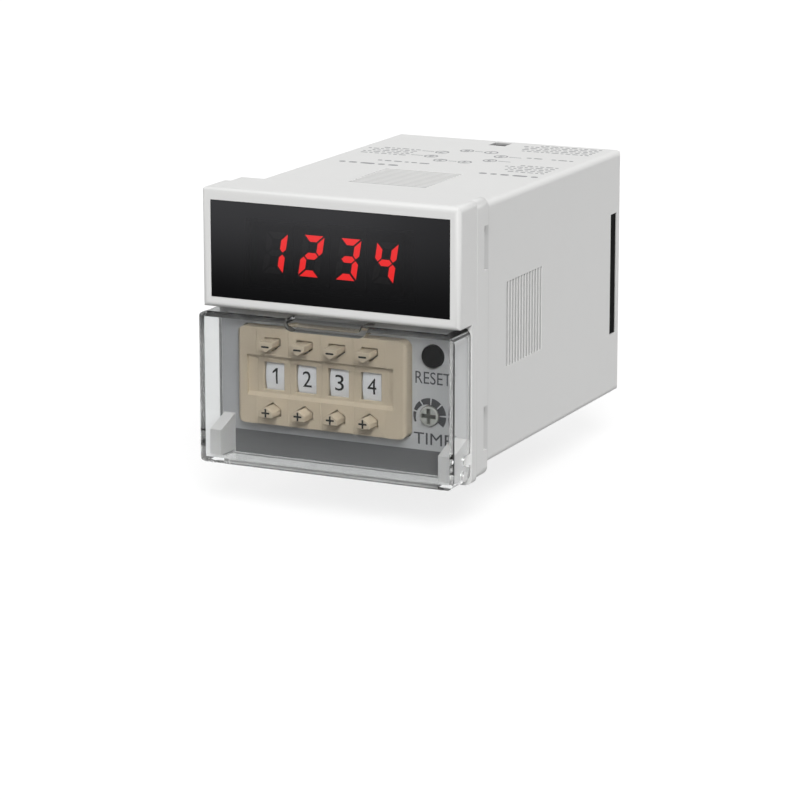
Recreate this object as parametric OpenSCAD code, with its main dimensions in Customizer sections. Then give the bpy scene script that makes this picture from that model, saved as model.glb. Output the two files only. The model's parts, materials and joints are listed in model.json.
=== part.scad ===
// Preset counter for a 48 mm square panel front, with a plug-in rear base.
// X runs to the right seen from the front, Y from front to rear, Z up.
// The origin is the centre of the front, in the plane where the collar meets the panel.

/* [Front] */
// Width and height of the square front
front_w = 48; // [47:0.5:54]
// Corner radius of the front
front_r = 1.2; // [0.8:0.1:2.4]
// Depth of the flat front frame
frame_t = 2.2; // [2:0.1:3]
// Width and height of the collar behind the frame
collar_w = 47.6; // [46.8:0.1:47.8]
// Depth of the collar, from the frame to the panel
collar_depth = 4.6; // [3.8:0.1:6]
// Corner radius of the collar
collar_r = 1.6; // [1.2:0.1:2]
// Rounding of the two edges that meet at the seam between the frame and the collar
seam_r = 0.5; // [0.2:0.1:0.8]
// Depth of the notches in the collar's rear edge
notch_depth = 1.6; // [0.8:0.1:2.4]
// Height of each notch in the collar
notch_h = 7.6; // [5:0.1:9]
// Height of each notch's middle above and below the centre
notch_z = 15.4; // [13:0.1:16.5]
// Thickness of the wall that carries the controls
panel_t = 1.6; // [1.2:0.1:1.9]
// Height of the raised display block
block_h = 20.7; // [20.4:0.1:21.2]
// Depth of the display block in front of the control panel
block_depth = 5; // [4.6:0.1:6]
// Rounding of the display block's front edges
block_edge_r = 1; // [0.3:0.1:1.2]

/* [Display] */
// Width of the smoked window
window_w = 44.5; // [43:0.1:45]
// Height of the smoked window
window_h = 16.7; // [16:0.1:17]
// Height of the frame above the window
window_top = 2.15; // [1.8:0.05:2.4]
// Thickness of the window
window_t = 1.5; // [1.2:0.1:2]
// Width of the ledge that the window seats on
window_ledge = 0.75; // [0.5:0.05:1]
// Distance between digit centres
digit_pitch = 6.85; // [6.8:0.05:8]
// Height of a digit
digit_h = 7.1; // [6.5:0.1:8.6]
// Width of a digit
digit_w = 3.9; // [3.6:0.1:4.6]
// Width of one light bar
bar_w = 1.1; // [0.6:0.05:1.2]
// Lean of the digits in degrees
digit_lean = 9; // [0:1:10]
// Width of a digit's housing
led_w = 6.7; // [6.4:0.05:6.75]
// Height of a digit's housing
led_h = 10.4; // [10:0.1:12]
// Sideways place of the middle of the four digits
digits_x = -0.6; // [-1:0.1:1]
// Drop of the digits below the window's middle
digits_drop = 0.2; // [-0.3:0.1:0.7]

/* [Case] */
// Width and height of the case behind the panel
case_w = 45; // [44.6:0.1:45]
// Length of the case behind the panel
case_len = 62.5; // [60:0.5:75]
// Wall of the case
case_wall = 1.6; // [1.2:0.1:1.8]
// Rounding of the case's long edges
case_r = 1; // [0.4:0.1:1.1]
// Rounding of the case's rear edge
case_rear_r = 0.8; // [0.3:0.1:0.9]
// Width across the ribs of a bracket rack
rack_w = 14.8; // [8:0.2:18]
// Start of the bracket racks behind the panel
rack_start = 10.4; // [9:0.2:14]
// Pitch of the rack teeth
rack_pitch = 1.2; // [0.8:0.1:2.2]
// Depth of the rack teeth
rack_depth = 0.2; // [0.1:0.05:0.6]
// Height of the two side slots for the plug base
slot_h = 22.4; // [16:0.2:26]
// Length of the side slots along the case
slot_len = 2.9; // [1.6:0.1:3]
// Distance from the side slots to the case's rear end
slot_rear = 1.9; // [1.2:0.1:2]
// Width of the two latch windows
latch_w = 3.4; // [2.4:0.1:6]

/* [Cover] */
// Width of the clear cover
cover_w = 47.6; // [47.4:0.1:47.8]
// Wall of the clear cover
cover_wall = 1; // [0.9:0.05:1.1]
// Depth of the cover in front of the control panel
cover_depth = 7.2; // [6.6:0.1:9]
// Corner radius of the cover
cover_r = 1.6; // [0.8:0.1:2]
// Rounding of the cover's front edges
cover_edge_r = 0.8; // [0.4:0.1:1]
// Width of the finger dent in the cover's top edge
dent_w = 13.7; // [9:0.1:18]
// Depth of the finger dent from the top
dent_h = 1.2; // [0.6:0.1:1.4]
// Length of the finger dent from the front
dent_len = 3.2; // [2:0.1:4]
// Radius of the two hinge pins
hinge_r = 0.9; // [0.7:0.05:0.95]
// Width of a hinge post
post_w = 2.1; // [1.8:0.1:2.4]
// Depth of a hinge post in front of the control panel
post_depth = 5.2; // [4.6:0.1:5.6]
// Height of a hinge post at its front
post_h = 4.4; // [3.6:0.1:5]
// Rise of a hinge post's sloped top towards the panel
post_rise = 1.9; // [0.8:0.1:2.6]

/* [Switches] */
// Width of one number switch
switch_pitch = 6.1; // [6.1:0.05:6.2]
// Height of the switch block
switch_h = 16.8; // [16.6:0.1:17.2]
// Space between the label's top edge and the switch block
switch_top = 1.85; // [1.65:0.05:2.05]
// Space between the left hinge post's side and the switch block
switch_left = 1.5; // [1.35:0.05:1.65]
// Height of the switch block above the control panel
switch_proud = 2.1; // [1.8:0.1:2.6]
// Width of the left end cap
cap_left_w = 3.7; // [3:0.05:3.9]
// Width of the right end cap
cap_right_w = 3.8; // [3.5:0.05:4.2]
// Corner radius of the end caps
cap_r = 1.5; // [0.8:0.1:1.8]
// Rounding of the end caps' outer front edges
cap_edge_r = 0.7; // [0.2:0.1:1.2]
// Front wall of a switch
switch_wall = 1.2; // [1:0.1:1.4]
// Side wall of a switch
side_wall = 0.8; // [0.6:0.05:0.85]
// Height of the sunk channel across the switches
channel_h = 7.1; // [6.4:0.1:7.4]
// Depth of the sunk channel
channel_depth = 0.6; // [0.3:0.05:0.7]
// Width of a number window
number_w = 3.8; // [3.7:0.1:4]
// Height of a number window
number_h = 4.8; // [4:0.1:5.2]
// Radius of a number wheel
wheel_r = 6.9; // [6.4:0.05:7.1]
// Width of a number wheel's rim
wheel_w = 3.5; // [3.3:0.05:3.55]
// Radius of the axle that carries a number wheel
axle_r = 1.2; // [0.8:0.05:1.4]
// Width of a push button
button_w = 2.55; // [2:0.05:2.6]
// Gap round a push button in the front wall
button_gap = 0.25; // [0.1:0.05:0.3]
// Height of a push button, point included
button_h = 1.85; // [1.7:0.05:1.9]
// Height of a push button's point
button_point = 0.9; // [0.6:0.05:1]
// Height of the push buttons' points above and below the switch middle
button_z = 4.7; // [4.65:0.05:4.8]
// Height of a push button above the switch block
button_proud = 2.7; // [2.2:0.1:3]
// Travel of a push button
button_travel = 1.4; // [0.8:0.1:1.4]

/* [Controls] */
// Diameter of the reset button
reset_d = 3.85; // [3.2:0.05:4.2]
// Distance of the reset button's middle from the right hinge post's side
reset_side = 3.1; // [3.05:0.05:3.45]
// Distance of the reset button's middle from the label's top edge
reset_drop = 4.2; // [4.05:0.05:4.45]
// Height of the reset button above the control panel
reset_proud = 0.9; // [0.7:0.05:1.2]
// Travel of the reset button
reset_travel = 0.6; // [0.3:0.05:0.6]
// Diameter of the time trimmer's head
trimmer_d = 3.4; // [3:0.05:4]
// Distance of the time trimmer's middle from the right hinge post's side
trimmer_side = 3.7; // [3.65:0.05:3.95]
// Distance of the time trimmer's middle from the label's top edge
trimmer_drop = 14.45; // [14.05:0.05:14.65]
// Height of the trimmer above the control panel
trimmer_proud = 0.8; // [0.4:0.05:1]
// Width of the trimmer's cross slot
cross_w = 0.75; // [0.4:0.05:0.8]

/* [Plug base] */
// Thickness of the plug base plate
base_t = 5; // [4.9:0.1:6]
// Depth of the plug base behind the case's rear edge
base_sunk = 0.35; // [0.2:0.05:0.5]
// Diameter of the round boss
boss_d = 31.5; // [24:0.5:34]
// Height of the round boss
boss_h = 3; // [2:0.1:5]
// Diameter of the circle of contact pins
pin_circle_d = 17.45; // [17:0.05:18]
// Diameter of a contact pin
pin_d = 2.36; // [2:0.02:2.6]
// Length of a contact pin outside the boss
pin_len = 10.8; // [8:0.1:12]
// Diameter of the guide post
guide_d = 7.9; // [6:0.1:8.5]
// Length of the guide post outside the boss
guide_len = 12.5; // [11:0.1:14]
// Width of the key on the guide post
key_w = 2.2; // [1.4:0.1:2.6]
// Height of the key on the guide post
key_h = 1.1; // [0.6:0.1:1.4]

/* [Hidden] */
$fn = 48;

// Clearances
fit = 0.1;
glide = 0.15;
running = 0.05;
eps = 0.05;
switch_count = 4;
digit_count = 4;

// Depth of each plane of the front, from the panel forwards
frame_rear_y = -collar_depth;
panel_face_y = frame_rear_y - frame_t;
panel_back_y = panel_face_y + panel_t;
block_face_y = panel_face_y - block_depth;
block_z0 = front_w / 2 - block_h;
block_low_r = 0.4;
label_t = 0.2;
label_y = panel_face_y - label_t;

// Window and display
window_z1 = front_w / 2 - window_top;
window_z0 = window_z1 - window_h;
window_back_y = block_face_y + window_t;
digits_z = (window_z0 + window_z1) / 2 - digits_drop;
bay_z0 = window_z0 + window_ledge;
bay_z1 = window_z1 - window_ledge;
board_t = 1.2;
display_board_y = frame_rear_y - board_t - 0.4;
led_front_y = window_back_y + glide;
bar_sunk = 0.6;
bar_gap = 0.17;
mitre_gap = 1.4 * bar_gap;

// Inside of the case
cavity_w = case_w - 2 * case_wall;
cavity_r = max(case_r - case_wall / 2, 0.3);
bay_step = 1.5;
bay_x = cavity_w / 2 - bay_step;
pillar_w = 2.5;
base_rear_y = case_len - base_sunk;
base_front_y = base_rear_y - base_t;
boss_face_y = base_rear_y + boss_h;
shank_r = pin_d / 2 - 0.2;
pin_count = 8;
slot_y1 = case_len - slot_rear;
slot_y0 = slot_y1 - slot_len;
latch_y0 = slot_y0 - 0.7;

// Hinge of the cover
cover_gap = 0.3;
cover_rear_y = panel_face_y - fit;
cover_face_y = panel_face_y - cover_depth;
cover_z1 = block_z0 - cover_gap;
cover_z0 = -front_w / 2 + 0.55;
hinge_y = panel_face_y - 2.05;
hinge_z = cover_z0 + 1.5;
hinge_sweep_r = 1.85;
post_gap = 0.3;
post_x1 = cover_w / 2 - cover_wall - post_gap;
post_x0 = post_x1 - post_w;
post_z0 = hinge_z - 0.35;

// Edges of the label, which is narrower between the posts
label_half = cover_w / 2 - cover_wall - glide;
post_side = post_x0 - glide;
post_top = post_z0 + post_h + post_rise;
label_z1 = cover_z1 - cover_wall - glide;
label_z0 = post_z0 - 0.5;
label_r = 0.5;

// Switch block and controls on the label
switch_x0 = -post_side + switch_left;
switch_x = switch_x0 + cap_left_w;
switch_x1 = switch_x + switch_count * switch_pitch + cap_right_w;
switch_z1 = label_z1 - switch_top;
switch_z0 = switch_z1 - switch_h;
switch_z = (switch_z0 + switch_z1) / 2;
reset_x = post_side - reset_side;
reset_z = label_z1 - reset_drop;
trimmer_x = post_side - trimmer_side;
trimmer_z = label_z1 - trimmer_drop;
switch_face_y = panel_face_y - switch_proud;
switch_inner_y = switch_face_y + switch_wall;
wheel_gap = 0.15;
wheel_y = switch_inner_y + wheel_gap + sqrt(wheel_r * wheel_r - number_h * number_h / 4);
switch_rear_y = wheel_y + wheel_r + 1.6;
rear_wall = 0.8;
cap_plate_t = 1;
cap_flange = 0.8;
cap_flange_t = 1.6;
channel_left = 1.8;
channel_right = 1.3;
button_front_y = switch_face_y - button_proud;
button_clear = 0.43;
wheel_at_button_y = wheel_y - sqrt(wheel_r * wheel_r - button_z * button_z);
button_rear_y = wheel_at_button_y - button_travel - button_clear;
shoulder = 0.45;
shoulder_t = 0.8;

// Boards behind the front
control_board_y = switch_rear_y;
control_board_t = 1.6;
control_back_y = control_board_y + control_board_t;
rail_w = 1.3;
rail_t = 1;
main_board_drop = 6.9;
main_board_z = cavity_w / 2 - main_board_drop;
power_board_rise = 3.9;
power_board_z = -cavity_w / 2 + power_board_rise;
inner_board_t = 1.6;
inner_board_y0 = control_back_y + 0.3;
inner_board_y1 = base_front_y - 0.6;
inner_board_w = cavity_w - 2 * fit;

// Headers between the boards
header_pitch = 2;
header_h = 2.4;
header_t = 2.5;
header_edge = 3.2;
header_pin = 0.64;
header_plug_len = 5;

// Parts on the boards
transformer_front = 11.8;
transformer_y = inner_board_y0 + transformer_front;
core_w = 24;
core_h = 19;
core_t = 10;
core_limb = 4;
bobbin_t = 1;
bobbin_bulge = 5;
relay_w = 15;
relay_len = 18;
relay_h = 10;
relay_r = 0.8;
relay_edge = 3.9;
tail_room = 4.5;
capacitor_r = 5;
capacitor_h = 18;
small_capacitor_r = 4;
small_capacitor_h = 12;
capacitor_edge = 2.9;
capacitor_rear = 11.5;
middle_capacitor_x = -2;
middle_capacitor_rear = 8.5;
chip_w = 9;
chip_len = 18;
chip_t = 2.2;
chip_front = 5.8;
chip_x = 2;

// Controls
reset_switch_h = 3.5;
reset_switch_w = 6;
plunger_r = 1.3;
plunger_h = 1;
reset_switch_y = control_board_y - reset_switch_h;
trimmer_body_h = 5;
trimmer_body_w = 5;
trimmer_body_y = control_board_y - trimmer_body_h;
trimmer_stem_r = 1.1;
trimmer_end_y = control_board_y - 1;
reset_stem_r = 1.3;

case_grey = "#d6d6d4";
beige = "#aa9e87";
black_plastic = "#26272a";
board_green = "#2f6b45";

// Layout helpers
// A flat shape drawn in X and Z, given depth from y0 to y1
module along_y(y0, y1) {
    translate([0, y1, 0]) rotate([90, 0, 0]) linear_extrude(y1 - y0) children();
}

// A flat shape drawn in Y and Z, given width from x0 to x1
module along_x(x0, x1) {
    translate([x0, 0, 0]) rotate([90, 0, 90]) linear_extrude(x1 - x0) children();
}

// A flat shape drawn in X and Y, given height from z0 to z1
module along_z(z0, z1) {
    translate([0, 0, z0]) linear_extrude(z1 - z0) children();
}

// A box between two corners
module block(lo, hi) {
    translate(lo) cube(hi - lo);
}

// A round bar along Y
module rod_y(x, z, r, y0, y1) {
    translate([x, y1, z]) rotate([90, 0, 0]) cylinder(r = r, h = y1 - y0);
}

// A round bar along X
module rod_x(y, z, r, x0, x1) {
    translate([x0, y, z]) rotate([0, 90, 0]) cylinder(r = r, h = x1 - x0);
}

// What a rounded corner takes away; way points from the corner into the shape
module corner_waste(way, r) {
    difference() {
        translate([min(way[0] * r, -way[0] * eps), min(way[1] * r, -way[1] * eps)]) square(r + eps);
        translate([way[0] * r, way[1] * r]) circle(r);
    }
}

// A rectangle with a radius for each corner: low-low, high-low, high-high, low-high
module soft_area(lo, hi, radii) {
    corners = [lo, [hi[0], lo[1]], hi, [lo[0], hi[1]]];
    ways = [[1, 1], [-1, 1], [-1, -1], [1, -1]];
    difference() {
        translate(lo) square(hi - lo);
        for (i = [0:3]) {
            if (radii[i] > 0) translate(corners[i]) corner_waste(ways[i], radii[i]);
        }
    }
}

// A square about the centre with equal corner radii
module soft_square(w, r) {
    soft_area([-w / 2, -w / 2], [w / 2, w / 2], [r, r, r, r]);
}

// A block with rounded front and rear edges and given corner radii seen from the front
module edge_rounded(lo, hi, y0, y1, radii, near_r, far_r) {
    intersection() {
        along_y(y0, y1) soft_area(lo, hi, radii);
        along_x(lo[0], hi[0]) soft_area([y0, lo[1]], [y1, hi[1]], [near_r, far_r, far_r, near_r]);
        along_z(lo[1], hi[1]) soft_area([lo[0], y0], [hi[0], y1], [near_r, near_r, far_r, far_r]);
    }
}

// Square block around the axis, with its front and rear edges rounded
module edge_rounded_square(w, y0, y1, corner_r, near_r, far_r) {
    edge_rounded([-w / 2, -w / 2], [w / 2, w / 2], y0, y1, [corner_r, corner_r, corner_r, corner_r],
                 near_r, far_r);
}

// The same thing on the left and on the right
module both_sides() {
    children();
    mirror([1, 0, 0]) children();
}

// The same thing above and below
module both_ends() {
    children();
    mirror([0, 0, 1]) children();
}

// Case
// Saw teeth of a bracket rack on the right side, for cutting
module rack_cut() {
    teeth = 13;
    steps = [for (i = [1:teeth]) each [
        [case_w / 2 - rack_depth, rack_start + i * rack_pitch - eps],
        [case_w / 2, rack_start + i * rack_pitch]
    ]];
    outline = concat([[case_w / 2, rack_start]], steps, [
        [case_w / 2 + eps, rack_start + teeth * rack_pitch],
        [case_w / 2 + eps, rack_start]
    ]);
    along_z(-rack_w / 2, rack_w / 2) polygon(outline);
}

module case_shell() {
    difference() {
        edge_rounded_square(case_w, frame_rear_y, case_len, case_r, 0, case_rear_r);
        along_y(frame_rear_y - 1, case_len + 1) soft_square(cavity_w, cavity_r);
    }
}

// Corner pillars that stop the control board in front and the plug base behind
module case_pillars() {
    both_sides() both_ends()
        block([cavity_w / 2 - pillar_w, control_back_y, cavity_w / 2 - pillar_w],
              [cavity_w / 2 + eps, base_front_y, cavity_w / 2 + eps]);
}

// Pairs of rails that hold a board by its long edges
module board_rails(z) {
    both_sides() {
        for (rail_z = [z - fit / 2 - rail_t, z + inner_board_t + fit / 2]) {
            block([cavity_w / 2 - rail_w, control_back_y + 1, rail_z],
                  [cavity_w / 2 + eps, inner_board_y1, rail_z + rail_t]);
        }
    }
}

module case() {
    color(case_grey) difference() {
        union() {
            case_shell();
            case_pillars();
            board_rails(main_board_z);
            board_rails(power_board_z);
        }
        both_sides() rack_cut();
        both_ends() rotate([0, 90, 0]) rack_cut();
        both_sides() block([cavity_w / 2 - eps, slot_y0, -slot_h / 2],
                           [case_w / 2 + 1, slot_y1, slot_h / 2]);
        both_ends() block([-latch_w / 2, latch_y0, cavity_w / 2 - eps],
                          [latch_w / 2, slot_y1, case_w / 2 + 1]);
    }
}

// Front bezel
module hinge_post() {
    along_x(post_x0, post_x1) polygon([
        [panel_face_y - post_depth, post_z0],
        [panel_face_y + eps, post_z0],
        [panel_face_y + eps, post_top],
        [panel_face_y - post_depth, post_z0 + post_h]
    ]);
    rod_x(hinge_y, hinge_z, hinge_r, post_x1 - eps, cover_w / 2 - fit);
}

module bezel_outside() {
    half = front_w / 2;
    edge_rounded_square(front_w, panel_face_y, frame_rear_y, front_r, 0, seam_r);
    edge_rounded([-half, block_z0], [half, half], block_face_y, panel_face_y + eps,
                 [block_low_r, block_low_r, front_r, front_r], block_edge_r, 0);
    edge_rounded_square(collar_w, frame_rear_y - eps, 0, collar_r, seam_r, 0);
    both_sides() hinge_post();
}

// Opening for the switch block, seen from the front
module switch_opening(gap) {
    soft_area([switch_x0 - gap, switch_z0 - gap], [switch_x1 + gap, switch_z1 + gap],
              [cap_r, cap_r, cap_r, cap_r]);
}

module bezel_cavities() {
    pocket_x = window_w / 2;
    along_y(frame_rear_y, 1) soft_square(case_w + 2 * fit, case_r + fit);
    along_y(panel_back_y, frame_rear_y + eps) soft_square(cavity_w, cavity_r);
    block([-pocket_x, block_face_y - 1, window_z0], [pocket_x, window_back_y, window_z1]);
    block([-bay_x, window_back_y - eps, bay_z0], [bay_x, panel_back_y + eps, bay_z1]);
    block([-cavity_w / 2, display_board_y, bay_z0], [cavity_w / 2, frame_rear_y + eps, bay_z1]);
    along_y(panel_face_y - 1, panel_back_y + eps) switch_opening(glide);
    rod_y(reset_x, reset_z, reset_d / 2 + glide, panel_face_y - 1, panel_back_y + eps);
    rod_y(trimmer_x, trimmer_z, trimmer_d / 2 + glide, panel_face_y - 1, panel_back_y + eps);
}

module front_bezel() {
    color(case_grey) difference() {
        bezel_outside();
        bezel_cavities();
        both_sides() both_ends()
            block([case_w / 2, -notch_depth, notch_z - notch_h / 2],
                  [collar_w / 2 + 1, 1, notch_z + notch_h / 2]);
    }
}

module display_window() {
    half = window_w / 2 - running;
    color([0.08, 0.08, 0.09, 0.6])
        block([-half, block_face_y, window_z0 + running], [half, window_back_y, window_z1 - running]);
}

// Display
// Middle of digit number i, counted from the left
function digit_x(i) = digits_x + (i - (digit_count + 1) / 2) * digit_pitch;

// A point of a digit, moved sideways by the lean
function leaned(i, x, z) = [digit_x(i) + x + z * tan(digit_lean), digits_z + z];

// Six corners of the middle bar
function middle_bar(i) =
    let (h = bar_w / 2, reach = digit_w / 2 - h - bar_gap)
    [leaned(i, -reach, 0), leaned(i, -reach + h, -h), leaned(i, reach - h, -h),
     leaned(i, reach, 0), leaned(i, reach - h, h), leaned(i, -reach + h, h)];

// Four corners of the top bar (sign 1) or the bottom bar (sign -1), mitred at both ends
function end_bar(i, sign) =
    let (top = digit_h / 2, reach = digit_w / 2 - mitre_gap)
    [leaned(i, -reach, sign * top), leaned(i, reach, sign * top),
     leaned(i, reach - bar_w, sign * (top - bar_w)), leaned(i, -reach + bar_w, sign * (top - bar_w))];

// Five corners of an upright bar, mitred at its outer end and pointed at the digit's middle
function side_bar(i, side, sign) =
    let (edge = digit_w / 2, top = digit_h / 2 - mitre_gap, h = bar_w / 2)
    [leaned(i, side * edge, sign * top), leaned(i, side * (edge - bar_w), sign * (top - bar_w)),
     leaned(i, side * (edge - bar_w), sign * (h + bar_gap)), leaned(i, side * (edge - h), sign * bar_gap),
     leaned(i, side * edge, sign * (h + bar_gap))];

// Outlines of the seven bars of digit i
function digit_bars(i) =
    concat(
        [middle_bar(i)],
        [for (sign = [-1, 1]) end_bar(i, sign)],
        [for (side = [-1, 1]) each [for (sign = [-1, 1]) side_bar(i, side, sign)]]
    );

module led_digit(i) {
    color("#3c3c40") difference() {
        block([digit_x(i) - led_w / 2, led_front_y, digits_z - led_h / 2],
              [digit_x(i) + led_w / 2, display_board_y, digits_z + led_h / 2]);
        for (outline = digit_bars(i)) along_y(led_front_y - 1, led_front_y + bar_sunk) polygon(outline);
    }
}

module light_bars(i) {
    color("#e0302c")
        for (outline = digit_bars(i)) along_y(led_front_y, led_front_y + bar_sunk) polygon(outline);
}

module display_board() {
    half = cavity_w / 2 - fit;
    color(board_green)
        block([-half, display_board_y, bay_z0 + fit], [half, display_board_y + board_t, bay_z1 - fit]);
}

module front_label() {
    color("#a3a5a6") difference() {
        along_y(label_y, panel_face_y)
            soft_area([-label_half, label_z0], [label_half, label_z1], [label_r, label_r, label_r, label_r]);
        both_sides() block([post_side, label_y - 1, label_z0 - 1],
                           [label_half + 1, panel_face_y + 1, post_top + glide]);
        along_y(label_y - 1, panel_face_y + 1) switch_opening(glide);
        rod_y(reset_x, reset_z, reset_d / 2 + glide, label_y - 1, panel_face_y + 1);
        rod_y(trimmer_x, trimmer_z, trimmer_d / 2 + glide, label_y - 1, panel_face_y + 1);
    }
}

// Number switches
// Left side of switch number i
function module_x(i) = switch_x + (i - 1) * switch_pitch;

// Sunk channel across the switch block, with a sloped lower edge, for cutting
module channel_cut(x0, x1) {
    top = switch_z + channel_h / 2;
    low = switch_z - channel_h / 2;
    along_x(x0, x1) polygon([
        [switch_face_y - 1, top],
        [switch_face_y + channel_depth, top],
        [switch_face_y + channel_depth, low + channel_depth],
        [switch_face_y, low],
        [switch_face_y - 1, low]
    ]);
}

// Five-sided outline of a push button that points at the switch middle, grown by gap
module button_area(i, gap) {
    x = module_x(i) + switch_pitch / 2;
    half = button_w / 2 + gap;
    tip = button_z - gap;
    brow = button_z + button_point - gap / 2;
    outer = button_z + button_h + gap;
    translate([x, switch_z])
        polygon([[0, tip], [half, brow], [half, outer], [-half, outer], [-half, brow]]);
}

// A shape above the switch middle, turned over when it belongs below
module on_row(sign) {
    flip = sign > 0 ? 0 : 1;
    translate([0, 0, switch_z]) mirror([0, 0, flip]) translate([0, 0, -switch_z]) children();
}

module switch_module(i) {
    x0 = module_x(i);
    x1 = x0 + switch_pitch;
    middle = x0 + switch_pitch / 2;
    color(beige) difference() {
        union() {
            difference() {
                block([x0, switch_face_y, switch_z0], [x1, switch_rear_y, switch_z1]);
                block([x0 + side_wall, switch_inner_y, switch_z0 + side_wall],
                      [x1 + 1, switch_rear_y - rear_wall, switch_z1 - side_wall]);
            }
            rod_x(wheel_y, switch_z, axle_r, x0 + side_wall - eps, x1 - fit);
        }
        channel_cut(x0 - 1, x1 + 1);
        block([middle - number_w / 2, switch_face_y - 1, switch_z - number_h / 2],
              [middle + number_w / 2, switch_inner_y + eps, switch_z + number_h / 2]);
        for (sign = [-1, 1]) {
            on_row(sign) along_y(switch_face_y - 1, switch_inner_y + eps) button_area(i, button_gap);
        }
    }
}

// Front of an end cap with its sunk channel, and the plate and flange behind it
module end_cap(x0, x1, plate_x0, flange_x0, flange_x1, radii, edge_radii, channel_x0, channel_x1) {
    head_y = panel_back_y + eps;
    color(beige) difference() {
        union() {
            intersection() {
                along_y(switch_face_y, head_y) soft_area([x0, switch_z0], [x1, switch_z1], radii);
                along_z(switch_z0, switch_z1) soft_area([x0, switch_face_y], [x1, head_y], edge_radii);
            }
            block([flange_x0, panel_back_y, switch_z0], [flange_x1, panel_back_y + cap_flange_t, switch_z1]);
            block([plate_x0, panel_back_y, switch_z0], [plate_x0 + cap_plate_t, switch_rear_y, switch_z1]);
        }
        channel_cut(channel_x0, channel_x1);
    }
}

module switch_end_cap_left() {
    inner = switch_x;
    end_cap(switch_x0, inner, inner - cap_plate_t, switch_x0 - cap_flange, inner, [cap_r, 0, 0, cap_r],
            [cap_edge_r, 0, 0, 0], inner - channel_left, inner + 1);
}

module switch_end_cap_right() {
    inner = switch_x1 - cap_right_w;
    end_cap(inner, switch_x1, inner, inner, switch_x1 + cap_flange, [0, cap_r, cap_r, 0],
            [0, cap_edge_r, 0, 0], inner - 1, inner + channel_right);
}

// Rim, web and hub of a wheel, with a ratchet of ten teeth on its side
module number_wheel(i) {
    teeth = 10;
    rim_t = 0.9;
    web_t = 1;
    hub_r = axle_r + 1;
    bore_r = axle_r + running;
    tooth_h = 0.8;
    ratchet_r = (hub_r + wheel_r + tooth_h) / 2;
    root_r = ratchet_r - tooth_h;
    ratchet_t = 0.7;
    half = wheel_w / 2;
    saw = [for (k = [0:teeth - 1]) each [
        [root_r * cos(k * 36), root_r * sin(k * 36)],
        [ratchet_r * cos(k * 36 + 30), ratchet_r * sin(k * 36 + 30)]
    ]];
    color("#dcdee2") translate([module_x(i) + switch_pitch / 2, wheel_y, switch_z]) rotate([0, 90, 0]) {
        rotate_extrude() {
            translate([wheel_r - rim_t, -half]) square([rim_t, wheel_w]);
            translate([hub_r - eps, half - web_t]) square([wheel_r - rim_t - hub_r + 2 * eps, web_t]);
            translate([bore_r, -half]) square([hub_r - bore_r, wheel_w]);
        }
        translate([0, 0, half - eps]) linear_extrude(ratchet_t + eps) difference() {
            polygon(saw);
            circle(bore_r);
        }
    }
}

// A push button: five-sided head whose point ends short of the wheel, and a shoulder behind the front wall
module push_button(i, sign) {
    x = module_x(i) + switch_pitch / 2;
    half = button_w / 2;
    brow = switch_z + button_z + button_point;
    outer = switch_z + button_z + button_h;
    shoulder_y = switch_inner_y + fit;
    color(beige) on_row(sign) {
        along_y(button_front_y, button_rear_y) button_area(i, 0);
        block([x - half, button_front_y + 1, brow], [x + half, shoulder_y + shoulder_t, outer]);
        block([x - half - shoulder, shoulder_y, brow],
              [x + half + shoulder, shoulder_y + shoulder_t, outer + shoulder]);
    }
}

// Reset button and trimmer
module reset_button() {
    edge = 0.3;
    r = reset_d / 2;
    front_y = panel_face_y - reset_proud;
    color(black_plastic) translate([reset_x, front_y, reset_z]) rotate([-90, 0, 0]) {
        rotate_extrude() difference() {
            square([r, panel_back_y - front_y + reset_travel]);
            translate([r, 0]) corner_waste([-1, 1], edge);
        }
        cylinder(r = reset_stem_r, h = reset_switch_y - plunger_h - front_y);
    }
}

module reset_plunger() {
    color("#caa24a")
        rod_y(reset_x, reset_z, plunger_r, reset_switch_y - plunger_h, reset_switch_y + reset_travel);
}

module reset_switch() {
    half = reset_switch_w / 2;
    hollow = 2 * reset_travel + fit;
    color(black_plastic) difference() {
        block([reset_x - half, reset_switch_y, reset_z - half],
              [reset_x + half, control_board_y, reset_z + half]);
        rod_y(reset_x, reset_z, plunger_r + running, reset_switch_y - 1, reset_switch_y + hollow);
    }
}

module time_trimmer() {
    r = trimmer_d / 2;
    edge = 0.25;
    front_y = panel_face_y - trimmer_proud;
    slot_depth = 0.8;
    slot_reach = r * 0.8;
    color("#bec0b6") difference() {
        union() {
            translate([trimmer_x, front_y, trimmer_z]) rotate([-90, 0, 0]) rotate_extrude() difference() {
                square([r, panel_back_y - front_y]);
                translate([r, 0]) corner_waste([-1, 1], edge);
            }
            rod_y(trimmer_x, trimmer_z, trimmer_stem_r, panel_back_y - eps, trimmer_end_y);
        }
        translate([trimmer_x, front_y, trimmer_z]) {
            block([-slot_reach, -1, -cross_w / 2], [slot_reach, slot_depth, cross_w / 2]);
            block([-cross_w / 2, -1, -slot_reach], [cross_w / 2, slot_depth, slot_reach]);
        }
    }
}

module trimmer_body() {
    half = trimmer_body_w / 2;
    bore_r = trimmer_stem_r + running;
    color("#2d4f8c") difference() {
        block([trimmer_x - half, trimmer_body_y, trimmer_z - half],
              [trimmer_x + half, control_board_y, trimmer_z + half]);
        rod_y(trimmer_x, trimmer_z, bore_r, trimmer_body_y - 1, trimmer_end_y + running);
    }
}

// Boards and what they carry
module control_board() {
    half = cavity_w / 2 - fit;
    color(board_green) block([-half, control_board_y, -half], [half, control_back_y, half]);
}

// A board held in the case's rails, with its lower face at height z
module railed_board(z) {
    half = inner_board_w / 2;
    color(board_green) block([-half, inner_board_y0, z], [half, inner_board_y1, z + inner_board_t]);
}

module main_board() {
    railed_board(main_board_z);
}

module power_board() {
    railed_board(power_board_z);
}

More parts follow.
